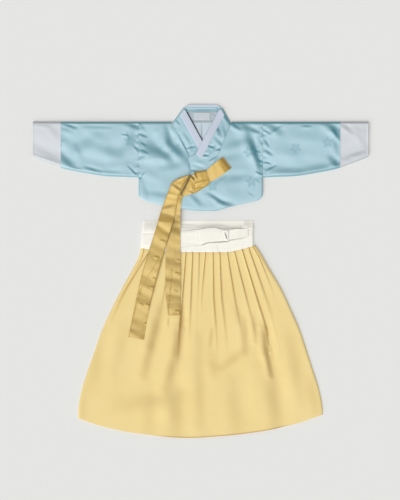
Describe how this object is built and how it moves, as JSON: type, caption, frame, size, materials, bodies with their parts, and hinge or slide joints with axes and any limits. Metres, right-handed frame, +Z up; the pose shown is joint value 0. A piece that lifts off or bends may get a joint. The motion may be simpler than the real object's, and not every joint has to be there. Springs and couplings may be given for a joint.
{
  "type": "child's hanbok laid flat",
  "caption": "Toddler's hanbok laid flat: short pale blue satin jacket with white collar strip and cuffs, gold ribbon ties in a bow, over a yellow pleated skirt on a white waistband.",
  "frame": {"origin": "on the table, under the middle of the outline", "axes": "+Z up off the table, +Y from the skirt's hem to the collar, +X to the wearer's left"},
  "size_m": [0.72, 0.716, 0.0133],
  "materials": {
    "satin_blue": "pale blue jacquard satin",
    "satin_white": "white satin with a cool cast",
    "collar_white": "smooth starched white strip",
    "lining": "matt pale lining",
    "label": "bare woven label",
    "ribbon_gold": "gold satin ribbon",
    "cotton_white": "off-white cotton",
    "skirt_yellow": "fine matt yellow woven cloth"
  },
  "bodies": {
    "root": {"jacket_body_right": "satin_blue", "jacket_body_left": "satin_blue", "sleeve_right": "satin_blue", "sleeve_left": "satin_blue", "cuff_right": "satin_white", "cuff_left": "satin_white", "collar_right": "satin_blue", "collar_left": "satin_blue", "collar_back": "satin_blue", "collar_strip_right": "collar_white", "collar_strip_left": "collar_white", "collar_strip_back": "collar_white", "neck_facing": "lining", "back_lining": "lining", "neck_label": "label", "tie_tail_short": "ribbon_gold", "tie_tail_long": "ribbon_gold", "tie_loop": "ribbon_gold", "tie_tuck": "ribbon_gold", "tie_knot": "ribbon_gold", "skirt_front": "skirt_yellow", "skirt_back": "skirt_yellow", "waistband_front": "cotton_white", "waistband_back": "cotton_white", "waist_tie": "cotton_white", "waist_loop": "cotton_white", "waist_tail": "cotton_white", "waist_knot": "cotton_white"}
  },
  "joints": []
}
